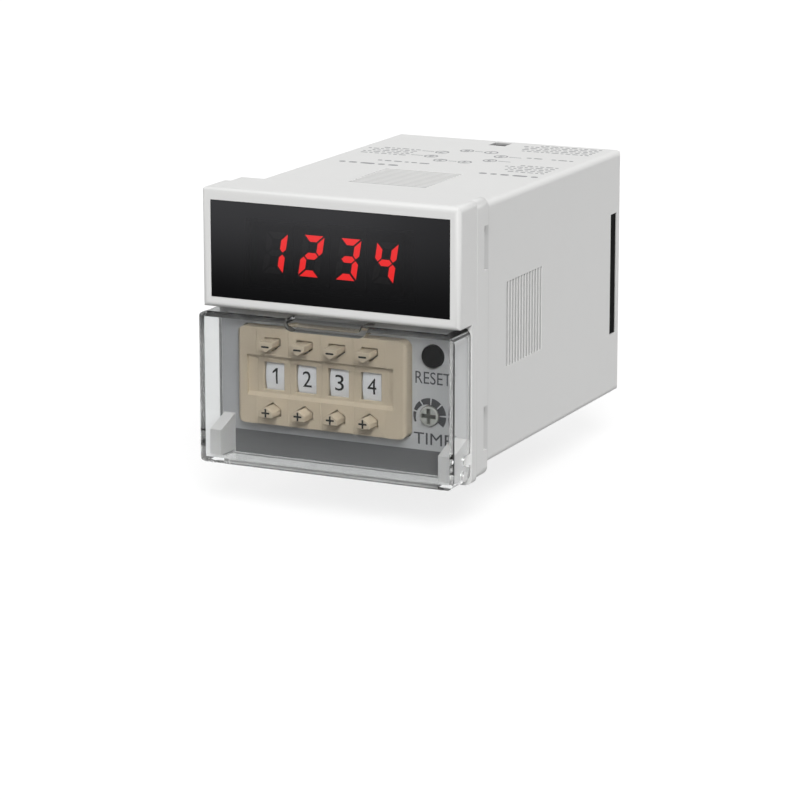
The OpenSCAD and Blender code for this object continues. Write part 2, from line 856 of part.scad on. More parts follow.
// Pins from the display board to the control board, and plugs behind the control board
module board_headers() {
    pins = 10;
    half = (pins * header_pitch + 1) / 2;
    z0 = cavity_w / 2 - header_edge;
    z1 = z0 + header_h;
    z = (z0 + z1) / 2;
    front_y = display_board_y + board_t;
    pin_y0 = front_y + header_t;
    pin_y1 = control_board_y - header_t;
    plug_y = control_back_y + header_plug_len;
    power_top = power_board_z + inner_board_t;
    color(black_plastic) {
        block([-half, front_y, z0], [half, pin_y0, z1]);
        block([-half, pin_y1, z0], [half, control_board_y, z1]);
        for (k = [0:pins - 1]) {
            x = (k - (pins - 1) / 2) * header_pitch;
            block([x - header_pin / 2, pin_y0 - eps, z - header_pin / 2],
                  [x + header_pin / 2, pin_y1 + eps, z + header_pin / 2]);
        }
        block([-half, control_back_y, main_board_z - header_h], [half, plug_y, main_board_z]);
        block([-half, control_back_y, power_top], [half, plug_y, power_top + header_h]);
    }
}

// Transformer core on the power board, with a window on each side of its middle limb
module transformer_core() {
    z0 = power_board_z + inner_board_t;
    gap_w = core_w / 2 - 2 * core_limb;
    color("#6d6f72") difference() {
        block([-core_w / 2, transformer_y, z0], [core_w / 2, transformer_y + core_t, z0 + core_h]);
        both_sides() block([core_limb, transformer_y - 1, z0 + core_limb],
                           [core_limb + gap_w, transformer_y + core_t + 1, z0 + core_h - core_limb]);
    }
}

// Winding on the middle limb, which stands out of the core in front and behind
module transformer_bobbin() {
    z0 = power_board_z + inner_board_t + core_limb + fit;
    z1 = power_board_z + inner_board_t + core_h - core_limb - fit;
    outer = core_w / 2 - core_limb - fit;
    y0 = transformer_y - bobbin_bulge;
    y1 = transformer_y + core_t + bobbin_bulge;
    step = 0.4;
    color("#c9a45a") difference() {
        union() {
            for (z = [z0, z1 - bobbin_t]) block([-outer, y0, z], [outer, y1, z + bobbin_t]);
            along_z(z0, z1) soft_area([-outer + step, y0 + step], [outer - step, y1 - step], [2, 2, 2, 2]);
        }
        block([-core_limb - running, transformer_y - running, z0 - 1],
              [core_limb + running, transformer_y + core_t + running, z1 + 1]);
    }
}

// Relay under the main board, with rounded lower edges
module relay() {
    x0 = -cavity_w / 2 + relay_edge;
    y0 = inner_board_y1 - relay_len - tail_room;
    radii = [relay_r, relay_r, 0, 0];
    color("#3566a8") translate([x0, y0, main_board_z - relay_h]) intersection() {
        along_y(0, relay_len) soft_area([0, 0], [relay_w, relay_h], radii);
        along_x(0, relay_w) soft_area([0, 0], [relay_len, relay_h], radii);
    }
}

// A standing capacitor with a groove near its foot
module capacitor(x, y, r, h) {
    groove_z = 1.6;
    groove_h = 0.8;
    groove = 0.4;
    translate([x, y, power_board_z + inner_board_t]) rotate_extrude() difference() {
        square([r, h]);
        translate([r - groove, groove_z]) square([groove + 1, groove_h]);
    }
}

module capacitors() {
    side_x = cavity_w / 2 - capacitor_r - capacitor_edge;
    y = inner_board_y1 - capacitor_rear;
    middle_y = inner_board_y1 - middle_capacitor_rear;
    color("#2b3a5c") {
        capacitor(side_x, y, capacitor_r, capacitor_h);
        capacitor(-side_x, y, small_capacitor_r, small_capacitor_h);
        capacitor(middle_capacitor_x, middle_y, small_capacitor_r, small_capacitor_h);
    }
}

// Flat chip under the main board, with a row of legs on each side
module microcontroller() {
    legs = 9;
    leg_w = 0.5;
    leg_reach = 1;
    chip_lift = 0.2;
    leg_pitch = chip_len / legs;
    x0 = chip_x;
    y0 = inner_board_y0 + chip_front;
    color(black_plastic) {
        block([x0, y0, main_board_z - chip_t], [x0 + chip_w, y0 + chip_len, main_board_z - chip_lift]);
        for (k = [0:legs - 1]) {
            y = y0 + (k + 0.5) * leg_pitch;
            block([x0 - leg_reach, y - leg_w / 2, main_board_z - leg_w],
                  [x0 + chip_w + leg_reach, y + leg_w / 2, main_board_z]);
        }
    }
}

// Plug base
module guide_post() {
    tip = 1;
    key_rear = 1.5;
    translate([0, boss_face_y - eps, 0]) rotate([-90, 0, 0]) rotate_extrude() difference() {
        square([guide_d / 2, guide_len + eps]);
        translate([guide_d / 2, guide_len + eps]) corner_waste([-1, -1], tip);
    }
    block([-key_w / 2, boss_face_y - eps, -guide_d / 2 - key_h],
          [key_w / 2, boss_face_y + guide_len - key_rear, 0]);
}

module plug_base() {
    half = cavity_w / 2 - fit;
    tab_sunk = 0.2;
    latch_sunk = 0.5;
    boss_edge_r = 0.6;
    rim = 1.6;
    rim_sink = 0.5;
    color(black_plastic) difference() {
        union() {
            along_y(base_front_y, base_rear_y) soft_square(2 * half, cavity_r);
            both_sides() block([half - eps, slot_y0 + fit, -slot_h / 2 + fit],
                               [case_w / 2 - tab_sunk, slot_y1 - fit, slot_h / 2 - fit]);
            both_ends() block([-latch_w / 2 + fit, latch_y0 + fit, half - eps],
                              [latch_w / 2 - fit, slot_y1 - fit, case_w / 2 - latch_sunk]);
            translate([0, base_rear_y - 1, 0]) rotate([-90, 0, 0]) rotate_extrude() difference() {
                square([boss_d / 2, boss_h + 1]);
                translate([boss_d / 2, boss_h + 1]) corner_waste([-1, -1], boss_edge_r);
            }
            guide_post();
        }
        along_y(base_rear_y - rim_sink, base_rear_y + eps) difference() {
            soft_square(2 * (half - rim), cavity_r);
            circle(boss_d / 2);
        }
        for (k = [0:pin_count - 1]) rotate([0, (k + 0.5) * 360 / pin_count, 0])
            rod_y(pin_circle_d / 2, 0, shank_r, base_front_y - 1, boss_face_y + 1);
    }
}

// Eight round contact pins with rounded ends, thinner shanks in the base and thin tails inside the case
module contact_pins() {
    tail_len = 3;
    tail_r = 0.6;
    r = pin_d / 2;
    shank_len = boss_face_y - base_front_y;
    color("#c9c6bd") for (k = [0:pin_count - 1]) rotate([0, (k + 0.5) * 360 / pin_count, 0])
        translate([pin_circle_d / 2, boss_face_y, 0]) rotate([-90, 0, 0]) rotate_extrude() {
            translate([0, pin_len - r]) intersection() {
                circle(r);
                square(r);
            }
            square([r, pin_len - r]);
            translate([0, -shank_len]) square([shank_r, shank_len + eps]);
            translate([0, -shank_len - tail_len]) square([tail_r, tail_len + eps]);
        }
}

// Clear front cover
// Finger dent in the top front edge, or the wall around it when grown
module finger_dent(grow) {
    corner = 0.8 + grow;
    half = dent_w / 2 + grow;
    low = cover_z1 - dent_h - grow;
    along_y(cover_face_y - 1, cover_face_y + dent_len + grow)
        soft_area([-half, low], [half, cover_z1 + 1], [corner, corner, 0, 0]);
}

module cover_body() {
    half = cover_w / 2;
    corner = [cover_r, cover_r, cover_r, cover_r];
    inner_r = 0.2;
    inner_corner = [inner_r, inner_r, inner_r, inner_r];
    difference() {
        edge_rounded([-half, cover_z0], [half, cover_z1], cover_face_y, cover_rear_y, corner,
                     cover_edge_r, 0);
        difference() {
            along_y(cover_face_y + cover_wall, cover_rear_y + 1)
                soft_area([-half + cover_wall, cover_z0 + cover_wall],
                          [half - cover_wall, cover_z1 - cover_wall], inner_corner);
            finger_dent(cover_wall);
        }
        finger_dent(0);
    }
}

// Room for the posts and the swing of the lower edge
module cover_hinge_cuts() {
    half = cover_w / 2;
    inner = half - cover_wall;
    open_y = cover_rear_y + 1;
    floor_z = cover_z0 + cover_wall + eps;
    lip_y = hinge_y + 0.95;
    post_room = 1.65;
    notch_x = post_x0 - post_gap;
    slot_r = 1;
    slot_y = hinge_y + 0.55;
    slot_z = hinge_z + 2.55;
    block([-inner, lip_y, cover_z0 - 1], [inner, open_y, floor_z]);
    both_sides() {
        block([notch_x, hinge_y - post_room, cover_z0 - 1], [inner, open_y, floor_z]);
        rod_x(hinge_y, hinge_z, hinge_r + running, half - cover_wall - 1, half + 1);
        along_x(half - cover_wall - eps, half + 1) {
            difference() {
                translate([hinge_y, cover_z0 - 1]) square([open_y - hinge_y, hinge_z - cover_z0 + 1]);
                translate([hinge_y, hinge_z]) circle(hinge_sweep_r);
            }
            translate([slot_y, slot_z]) circle(slot_r);
            translate([slot_y, slot_z - slot_r]) square([open_y - slot_y, 2 * slot_r]);
        }
    }
}

module front_cover() {
    color([0.85, 0.88, 0.9, 0.35]) difference() {
        cover_body();
        cover_hinge_cuts();
    }
}

case();
front_bezel();
display_window();
led_digit(1);  // led_digit_1
led_digit(2);  // led_digit_2
led_digit(3);  // led_digit_3
led_digit(4);  // led_digit_4
light_bars(1);  // light_bars_1
light_bars(2);  // light_bars_2
light_bars(3);  // light_bars_3
light_bars(4);  // light_bars_4
display_board();
front_label();
switch_end_cap_left();
switch_end_cap_right();
switch_module(1);  // switch_module_1
switch_module(2);  // switch_module_2
switch_module(3);  // switch_module_3
switch_module(4);  // switch_module_4
number_wheel(1);  // number_wheel_1
number_wheel(2);  // number_wheel_2
number_wheel(3);  // number_wheel_3
number_wheel(4);  // number_wheel_4
push_button(1, 1);  // minus_button_1
push_button(2, 1);  // minus_button_2
push_button(3, 1);  // minus_button_3
push_button(4, 1);  // minus_button_4
push_button(1, -1);  // plus_button_1
push_button(2, -1);  // plus_button_2
push_button(3, -1);  // plus_button_3
push_button(4, -1);  // plus_button_4
reset_button();
reset_plunger();
reset_switch();
time_trimmer();
trimmer_body();
control_board();
main_board();
power_board();
board_headers();
transformer_core();
transformer_bobbin();
relay();
capacitors();
microcontroller();
plug_base();
contact_pins();
front_cover();
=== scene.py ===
"""Looks of the panel counter: finishes for the CAD nodes, printed marks, camera, light and floor."""
import functools
import itertools
import json
import math

import bmesh
import bpy
from mathutils import Matrix, Vector


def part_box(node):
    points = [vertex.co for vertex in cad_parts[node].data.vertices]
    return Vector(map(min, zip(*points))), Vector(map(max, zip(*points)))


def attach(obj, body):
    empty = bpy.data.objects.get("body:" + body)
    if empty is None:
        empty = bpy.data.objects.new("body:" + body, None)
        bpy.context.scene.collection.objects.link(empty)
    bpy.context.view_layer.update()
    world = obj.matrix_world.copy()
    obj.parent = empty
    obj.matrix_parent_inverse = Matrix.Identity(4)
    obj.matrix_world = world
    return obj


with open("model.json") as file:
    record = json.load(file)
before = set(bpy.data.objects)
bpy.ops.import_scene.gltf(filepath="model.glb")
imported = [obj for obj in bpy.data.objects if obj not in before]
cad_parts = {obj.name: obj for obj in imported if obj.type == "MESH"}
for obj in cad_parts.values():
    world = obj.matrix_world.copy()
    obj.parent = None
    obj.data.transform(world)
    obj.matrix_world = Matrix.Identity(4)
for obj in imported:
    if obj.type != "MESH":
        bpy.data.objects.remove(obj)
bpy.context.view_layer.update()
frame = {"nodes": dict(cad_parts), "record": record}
nodes = frame["nodes"]
scene = bpy.context.scene

MM = 0.001
SWITCHES = (1, 2, 3, 4)
BLACK = (0.0, 0.0, 0.0, 1.0)
WHITE = (1.0, 1.0, 1.0, 1.0)


def linear(red, green, blue):
    """A colour written as it looks on screen, 0 to 255, as the linear colour that nodes take."""
    def one(value):
        value /= 255
        return value / 12.92 if value <= 0.04045 else ((value + 0.055) / 1.055) ** 2.4
    return (one(red), one(green), one(blue), 1.0)


def shaded(colour, share):
    """A colour at a share of its brightness."""
    return tuple(min(part * share, 1.0) for part in colour[:3]) + (1.0,)


def box_mm(node):
    """Lowest and highest corner of a CAD node, in millimetres."""
    low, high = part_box(node)
    return Vector(low) / MM, Vector(high) / MM


# Shader maths

class Value:
    """A socket of a node tree; expressions on it add Math nodes."""

    def __init__(self, owner, socket):
        self.owner = owner
        self.socket = socket

    def maths(self, operation, first, second=0.0):
        return self.owner.node("ShaderNodeMath", {"operation": operation}, {0: first, 1: second})

    def __add__(self, other):
        return self.maths("ADD", self, other)

    def __radd__(self, other):
        return self.maths("ADD", other, self)

    def __sub__(self, other):
        return self.maths("SUBTRACT", self, other)

    def __rsub__(self, other):
        return self.maths("SUBTRACT", other, self)

    def __mul__(self, other):
        return self.maths("MULTIPLY", self, other)

    def __rmul__(self, other):
        return self.maths("MULTIPLY", other, self)

    def __lt__(self, other):
        return self.maths("LESS_THAN", self, other)

    def __gt__(self, other):
        return self.maths("GREATER_THAN", self, other)

    def __abs__(self):
        return self.maths("ABSOLUTE", self)

    def larger(self, other):
        return self.maths("MAXIMUM", self, other)

    def ramp(self, start, end):
        """0 below start, 1 above end and a smooth rise between."""
        return self.owner.node("ShaderNodeMapRange", {"interpolation_type": "SMOOTHSTEP"},
                               {"Value": self, "From Min": start, "From Max": end})


# Places of a Mix node's colour sockets, whose names its other sockets have too
MIX_FIRST = 6
MIX_SECOND = 7
MIX_RESULT = 2


class Nodes:
    """A node tree that is built by expressions."""

    def __init__(self, tree):
        self.tree = tree

    def node(self, kind, settings=None, sockets=None, out=0):
        """Any node: its settings first, then the values or links of its sockets."""
        made = self.tree.nodes.new(kind)
        for name, value in (settings or {}).items():
            setattr(made, name, value)
        for name, value in (sockets or {}).items():
            if isinstance(value, Value):
                self.tree.links.new(value.socket, made.inputs[name])
            else:
                made.inputs[name].default_value = value
        return Value(self, made.outputs[out])

    def mix(self, first, second, share):
        """From the first colour to the second."""
        return self.node("ShaderNodeMix", {"data_type": "RGBA"},
                         {"Factor": share, MIX_FIRST: first, MIX_SECOND: second}, out=MIX_RESULT)

    def rays(self, *kinds):
        """1 for rays of the named kinds, 0 for all others."""
        return functools.reduce(Value.larger, [self.node("ShaderNodeLightPath", out=kind) for kind in kinds])

    def straight(self):
        """1 for what is seen directly, in a mirror or through glass, and 0 for light on a dull surface."""
        return self.node("ShaderNodeLightPath", out="Diffuse Depth") < 1


class Finish(Nodes):
    """A material around one Principled shader, with places in millimetres."""

    def __init__(self, name, constants=None):
        self.material = bpy.data.materials.new(name)
        self.material.use_nodes = True
        super().__init__(self.material.node_tree)
        self.shader = self.tree.nodes["Principled BSDF"]
        for socket, value in (constants or {}).items():
            self.shader.inputs[socket].default_value = value
        place = self.node("ShaderNodeTexCoord", out="Object")
        self.place = self.node("ShaderNodeVectorMath", {"operation": "SCALE"},
                               {"Vector": place, "Scale": 1 / MM})
        axes = self.node("ShaderNodeSeparateXYZ", {}, {"Vector": self.place}).socket.node
        self.x, self.y, self.z = (Value(self, socket) for socket in axes.outputs)

    def noise(self, per_mm, detail=2.0, stretch=(1, 1, 1)):
        """Cloudy noise from 0 to 1, with that many features in a millimetre."""
        place = self.node("ShaderNodeVectorMath", {"operation": "MULTIPLY"}, {0: self.place, 1: stretch})
        return self.node("ShaderNodeTexNoise", {}, {"Vector": place, "Scale": per_mm, "Detail": detail})

    def bands(self, along, scale, wander, detail=2.0):
        """Soft bands from 0 to 1 that follow each other along an axis and wander a little."""
        return self.node("ShaderNodeTexWave", {"wave_type": "BANDS", "bands_direction": along},
                         {"Vector": self.place, "Scale": scale, "Distortion": wander, "Detail": detail})

    def feed(self, socket, value):
        self.tree.links.new(value.socket, self.shader.inputs[socket])

    def rough(self, least, rise, pattern):
        """Roughness that follows a pattern."""
        self.feed("Roughness", least + rise * pattern)

    def bump(self, height, strength, depth_mm):
        self.feed("Normal", self.node("ShaderNodeBump", {}, {"Height": height, "Strength": strength,
                                                             "Distance": depth_mm * MM}))


# Finishes

CLOUD_SHARE = 0.7
ROUGH_DRIFT = 0.06


def moulded(name, colour, roughness=0.45, grain=7.0, grain_depth=0.012, drift=0.05, gloss=0.5):
    """Moulded plastic: fine even grain, a slow drift of tone and slightly uneven gloss."""
    finish = Finish(name, {"Specular IOR Level": gloss})
    cloud = finish.noise(per_mm=0.06, detail=3.0)
    fine = finish.noise(per_mm=grain)
    share = cloud * CLOUD_SHARE + fine * (1 - CLOUD_SHARE)
    finish.tone = finish.mix(shaded(colour, 1 - drift), shaded(colour, 1 + drift), share)
    finish.dullness = roughness - ROUGH_DRIFT + 2 * ROUGH_DRIFT * finish.noise(per_mm=0.5, detail=3.0)
    finish.feed("Base Color", finish.tone)
    finish.feed("Roughness", finish.dullness)
    finish.bump(fine, strength=0.5, depth_mm=grain_depth)
    return finish


def ink(name, colour, drift):
    """Dull printing ink."""
    return moulded(name, colour, roughness=0.55, grain=9.0, grain_depth=0.006, drift=drift)


# Where painted shade darkens the case, in millimetres: along it, half across and inward
CASE_GREY = linear(222, 222, 221)
RACK_ALONG = (10.2, 26.2)
RACK_HALF = 7.6
SLOT_ALONG = (55.0, 61.0)
SLOT_HALF = 11.4
SUNK_DEEP = 0.25
SUNK_SHADE = 0.5
COLLAR_SHADOW_ALONG = (2.6, 3.4)
COLLAR_SHADOW_SHARE = 0.28


def case_plastic():
    """Light grey moulding with painted shade between the teeth of its racks and in its slots, and a painted
    shadow behind the collar.
    """
    case_half = box_mm("case")[1].x
    finish = moulded("case_plastic", CASE_GREY, grain=5.0, drift=0.02, gloss=0.15)
    outward = abs(finish.x).larger(abs(finish.z))
    aside = abs(finish.x) + abs(finish.z) - outward

    def patch(along, half):
        return (finish.y > along[0]) * (finish.y < along[1]) * (aside < half)

    patches = patch(RACK_ALONG, RACK_HALF).larger(patch(SLOT_ALONG, SLOT_HALF))
    # Painted shade: darker inward between the rack teeth and in the slots
    painted_recess_shade = (case_half - outward).ramp(0, SUNK_DEEP) * patches
    # Painted shadow of the collar on the case, fading out just behind it
    corner = (1 - finish.y.ramp(*COLLAR_SHADOW_ALONG)) * (finish.y > 0) * COLLAR_SHADOW_SHARE
    shade = shaded(CASE_GREY, SUNK_SHADE)
    finish.feed("Base Color", finish.mix(finish.tone, shade, painted_recess_shade.larger(corner)))
    return finish


ACRYLIC_BENDING = 1.49
WINDOW_MARGIN = linear(8, 8, 9), linear(60, 60, 62)
WINDOW_MIDDLE = linear(10, 10, 11), linear(70, 70, 72)
# Painted reflection on the window: how much lighter its top gets, and how much of that its right side loses
WINDOW_REFLECTION_RISE = 0.92
WINDOW_REFLECTION_RIGHT_LOSS = 0.4
WINDOW_CLOUD = 0.12
WINDOW_SMOKE = 0.62
WINDOW_CLEAR_X = 14.0
WINDOW_CLEAR_Z = 4.2
WINDOW_FADE = 2.5


def smoked_window():
    """Dark acrylic with a painted reflection that lightens it towards its top and left; its margins are
    masked, its middle is see-through.
    """
    low, high = box_mm("display_window")
    middle = (low + high) / 2
    finish = Finish("smoked_window", {"Specular IOR Level": 0.08, "IOR": ACRYLIC_BENDING})
    rightward = finish.x.ramp(middle.x, high.x)
    # Painted reflection: lighter towards the top and left, with a little random cloud
    rise = finish.z.ramp(low.z, high.z) * (WINDOW_REFLECTION_RISE - WINDOW_REFLECTION_RIGHT_LOSS * rightward)
    rise = rise + finish.noise(per_mm=0.05) * WINDOW_CLOUD
    aside = abs(finish.x - middle.x).ramp(WINDOW_CLEAR_X, WINDOW_CLEAR_X + WINDOW_FADE)
    apart = abs(finish.z - middle.z).ramp(WINDOW_CLEAR_Z, WINDOW_CLEAR_Z + WINDOW_FADE)
    masked = aside.larger(apart)
    margin = finish.mix(*WINDOW_MARGIN, rise)
    middle_tone = finish.mix(*WINDOW_MIDDLE, rise)
    finish.feed("Base Color", finish.mix(middle_tone, margin, masked))
    finish.rough(least=0.04, rise=0.05, pattern=finish.noise(per_mm=0.3, detail=3.0))
    finish.feed("Alpha", WINDOW_SMOKE + (1 - WINDOW_SMOKE) * masked)
    return finish


COVER_TINT = linear(231, 232, 232), linear(239, 240, 240)
COVER_GLINT = (0.9, 0.9, 0.9, 1.0)
COVER_CLEAR = 0.6


def clear_cover():
    """Polished clear moulding, which lets most of the light through to what is behind it."""
    finish = Finish("clear_cover", {"Transmission Weight": 1.0, "IOR": ACRYLIC_BENDING,
                                    "Specular Tint": COVER_GLINT})
    finish.feed("Base Color", finish.mix(*COVER_TINT, finish.noise(per_mm=0.04)))
    finish.rough(least=0.012, rise=0.02, pattern=finish.noise(per_mm=0.4, detail=3.0))
    finish.feed("Alpha", 1 - COVER_CLEAR * finish.rays("Is Shadow Ray"))
    return finish


# Bars of a digit, told apart by the mitres between them
DIGIT_LEAN = math.tan(math.radians(9))
DIGIT_HIGH = 7.1
DIGIT_WIDE = 3.9
BAR_WIDE = 1.1
END_MITRE = (DIGIT_HIGH - DIGIT_WIDE) / 2
MIDDLE_MITRE = (DIGIT_WIDE - BAR_WIDE) / 2
LIT_BARS = {1: "bc", 2: "abged", 3: "abgcd", 4: "fgbc"}
BAR_DULL = linear(108, 104, 104), linear(124, 119, 119)
BAR_RED = linear(230, 36, 34)
BAR_GLOW = linear(255, 34, 34), linear(255, 46, 46)


def light_bars(digit):
    """Light bars of one digit; those of its number glow, the others stay dull."""
    low, high = box_mm("light_bars_%d" % digit)
    middle = (low + high) / 2
    finish = Finish("light_bars_%d" % digit, {"Roughness": 0.35, "Emission Strength": 5.4})
    up = finish.z - middle.z
    across = finish.x - middle.x - up * DIGIT_LEAN
    above = up > 0
    right = across > 0
    end = abs(up) - abs(across) > END_MITRE
    cross = abs(up) + abs(across) < MIDDLE_MITRE
    side = 1 - end.larger(cross)
    bars = {
        "a": end * above,
        "b": side * above * right,
        "c": side * (1 - above) * right,
        "d": end * (1 - above),
        "e": side * (1 - above) * (1 - right),
        "f": side * above * (1 - right),
        "g": cross,
    }
    lit = sum(bars[letter] for letter in LIT_BARS[digit])
    mottle = finish.noise(per_mm=1.5)
    finish.feed("Base Color", finish.mix(finish.mix(*BAR_DULL, mottle), BAR_RED, lit))
    finish.feed("Emission Color", finish.mix(BLACK, finish.mix(*BAR_GLOW, mottle), lit))
    return finish


SILVER = linear(180, 181, 183), linear(198, 199, 200)
SILVER_RISE = 0.8
STRIP_GREY = linear(101, 102, 103), linear(116, 117, 118)
STRIP_TOP = -18.6
STRIP_EDGE = 0.05
STRIP_POLISH = 0.06


def label():
    """Silver film, lighter to the right, with a bare dark strip along its lower edge."""
    low, high = box_mm("front_label")
    finish = Finish("label", {"Specular IOR Level": 0.4})
    brushed = finish.noise(per_mm=1.2, detail=3.0, stretch=(0.15, 1, 9))
    rise = finish.x.ramp(low.x, high.x) * SILVER_RISE + brushed * (1 - SILVER_RISE)
    strip = 1 - finish.z.ramp(STRIP_TOP - STRIP_EDGE, STRIP_TOP + STRIP_EDGE)
    silver = finish.mix(*SILVER, rise)
    finish.feed("Base Color", finish.mix(silver, finish.mix(*STRIP_GREY, brushed), strip))
    finish.rough(least=0.42 - STRIP_POLISH * strip, rise=0.12, pattern=brushed)
    finish.bump(brushed, strength=0.25, depth_mm=0.01)
    return finish


BASE_BLACK = linear(42, 42, 44)
TAB_SHADE_BLACK = linear(5, 5, 5)
TAB_SIDE = 21.5
TAB_DULL = 0.5


def base_plastic():
    """Black moulding of the plug base; its tabs and latches in the case's slots carry painted shade and are
    the darkest.
    """
    finish = moulded("base_plastic", BASE_BLACK, roughness=0.42, grain=5.0, grain_depth=0.02, drift=0.12,
                     gloss=0.12)
    # Painted shade: the tabs and latches in the case's slots are near black and duller
    tab_in_shade = abs(finish.x).larger(abs(finish.z)) > TAB_SIDE
    finish.feed("Base Color", finish.mix(finish.tone, TAB_SHADE_BLACK, tab_in_shade))
    finish.feed("Roughness", finish.dullness + TAB_DULL * tab_in_shade)
    return finish


TRIMMER_PALE = linear(172, 174, 168), linear(192, 194, 188)
TRIMMER_SLOT_SHADE = linear(112, 113, 108)
TRIMMER_SHADE_DEPTH = (0.1, 0.6)


def trimmer():
    """Pale head whose cross slot has painted shade that darkens with depth."""
    front = box_mm("time_trimmer")[0].y
    finish = Finish("trimmer_plastic")
    # Painted shade: the cross slot darkens with its depth
    painted_recess_shade = (finish.y - front).ramp(*TRIMMER_SHADE_DEPTH)
    pale = finish.mix(*TRIMMER_PALE, finish.noise(per_mm=1.2, detail=3.0))
    finish.feed("Base Color", finish.mix(pale, TRIMMER_SLOT_SHADE, painted_recess_shade))
    finish.rough(least=0.42, rise=0.12, pattern=finish.noise(per_mm=0.8))
    finish.bump(finish.noise(per_mm=6.0), strength=0.4, depth_mm=0.01)
    return finish


BOARD_GREEN = linear(24, 74, 44), linear(34, 92, 56)
TRACK_GREEN = linear(70, 128, 82)
TRACK_EDGE = (0.72, 0.8)


def board():
    """Green lacquer over copper tracks, which show as paler lines."""
    finish = Finish("board", {"Coat Weight": 0.3, "Coat Roughness": 0.2})
    track = finish.bands("X", scale=0.25, wander=5.0, detail=1.0).ramp(*TRACK_EDGE)
    ground = finish.mix(*BOARD_GREEN, finish.noise(per_mm=0.3, detail=3.0))
    finish.feed("Base Color", finish.mix(ground, TRACK_GREEN, track))
    finish.rough(least=0.32, rise=0.15, pattern=finish.noise(per_mm=0.8))
    finish.bump(track, strength=0.5, depth_mm=0.04)
    return finish


NICKEL = linear(186, 182, 170), linear(222, 218, 208)


def pin_metal():
    """Nickel plate with faint drawing marks along the pins."""
    finish = Finish("pin_metal", {"Metallic": 1.0})
    drawn = finish.noise(per_mm=2.0, detail=3.0, stretch=(6, 0.2, 6))
    finish.feed("Base Color", finish.mix(*NICKEL, drawn))
    finish.rough(least=0.2, rise=0.2, pattern=drawn)
    finish.bump(drawn, strength=0.2, depth_mm=0.01)
    return finish


BRASS = linear(176, 140, 72), linear(206, 170, 98)


def plunger_metal():
    """Plain brass, a little dulled."""
    finish = Finish("plunger_metal", {"Metallic": 1.0})
    dull = finish.noise(per_mm=1.0, detail=3.0)
    finish.feed("Base Color", finish.mix(*BRASS, dull))
    finish.rough(least=0.28, rise=0.2, pattern=dull)
    return finish


SHEET_STEEL = linear(84, 86, 88), linear(128, 130, 133)


def core_steel():
    """Stacked sheets of the transformer, seen as fine lines along its edges."""
    finish = Finish("core_steel", {"Metallic": 0.8})
    sheets = finish.bands("Y", scale=0.65, wander=0.3)
    finish.feed("Base Color", finish.mix(*SHEET_STEEL, sheets))
    finish.rough(least=0.4, rise=0.2, pattern=finish.noise(per_mm=0.8))
    finish.bump(sheets, strength=0.6, depth_mm=0.06)
    return finish


AMBER_TAPE = linear(172, 132, 52), linear(212, 170, 84)


def winding():
    """Amber tape over the coil, with its turns showing."""
    finish = Finish("winding", {"Coat Weight": 0.2})
    turns = finish.bands("Z", scale=0.8, wander=0.6)
    finish.feed("Base Color", finish.mix(*AMBER_TAPE, turns))
    finish.rough(least=0.35, rise=0.15, pattern=finish.noise(per_mm=0.7))
    finish.bump(turns, strength=0.5, depth_mm=0.05)
    return finish


SLEEVE_BLUE = linear(30, 42, 78), linear(42, 56, 98)
BARE_CAN = linear(176, 178, 182)
BARE_METAL = 0.9
BARE_EDGE = (-0.3, -0.2)


def capacitor_can():
    """Dark sleeve with a bare metal top."""
    top = box_mm("capacitors")[1].z
    finish = Finish("capacitor_can")
    bare = (finish.z - top).ramp(*BARE_EDGE)
    sleeve = finish.mix(*SLEEVE_BLUE, finish.noise(per_mm=0.5))
    finish.feed("Base Color", finish.mix(sleeve, BARE_CAN, bare))
    finish.feed("Metallic", bare * BARE_METAL)
    finish.rough(least=0.3, rise=0.12, pattern=finish.noise(per_mm=0.6))
    return finish


finishes = {
    "case_plastic": case_plastic(),
    "smoked_window": smoked_window(),
    "digit_housing": moulded("digit_housing", linear(34, 34, 36), roughness=0.6),
    "board": board(),
    "label": label(),
    "beige_plastic": moulded("beige_plastic", linear(209, 195, 172), grain=6.0, drift=0.04),
    "wheel_plastic": moulded("wheel_plastic", linear(240, 241, 244), roughness=0.4, grain=6.0,
                             grain_depth=0.008, drift=0.02),
    "black_plastic": moulded("black_plastic", linear(16, 16, 17), roughness=0.42, grain=6.0,
                             grain_depth=0.02, drift=0.15, gloss=0.1),
    "plunger_metal": plunger_metal(),
    "trimmer_plastic": trimmer(),
    "blue_plastic": moulded("blue_plastic", linear(44, 88, 156), roughness=0.3, grain=4.0,
                            grain_depth=0.01, drift=0.06),
    "core_steel": core_steel(),
    "winding": winding(),
    "capacitor_can": capacitor_can(),
    "pin_metal": pin_metal(),
    "clear_cover": clear_cover(),
}
dark_print = ink("dark_print", linear(26, 26, 28), drift=0.12)
grey_print = ink("grey_print", linear(72, 73, 76), drift=0.08)
case_print = ink("case_print", linear(140, 141, 144), drift=0.06)


def dress(node, finish):
    """Puts a finish on a CAD node."""
    data = nodes[node].data
    data.materials.clear()
    data.materials.append(finish.material)


for subpart in frame["record"]["subparts"]:
    if subpart["material_slot"] in finishes:
        dress(subpart["node"], finishes[subpart["material_slot"]])
for digit in LIT_BARS:
    dress("light_bars_%d" % digit, light_bars(digit))
dress("plug_base", base_plastic())


# Softened edges, made by modifiers so that the nodes keep their own points

WELD_REACH = 0.002
FLAT_LIMIT = math.radians(0.4)
SHARP_LIMIT = math.radians(40)
EDGE_SEGMENTS = 2
SWITCH_EDGE = 0.1
BUTTON_EDGE = 0.16
MOULDING_EDGE = 0.15


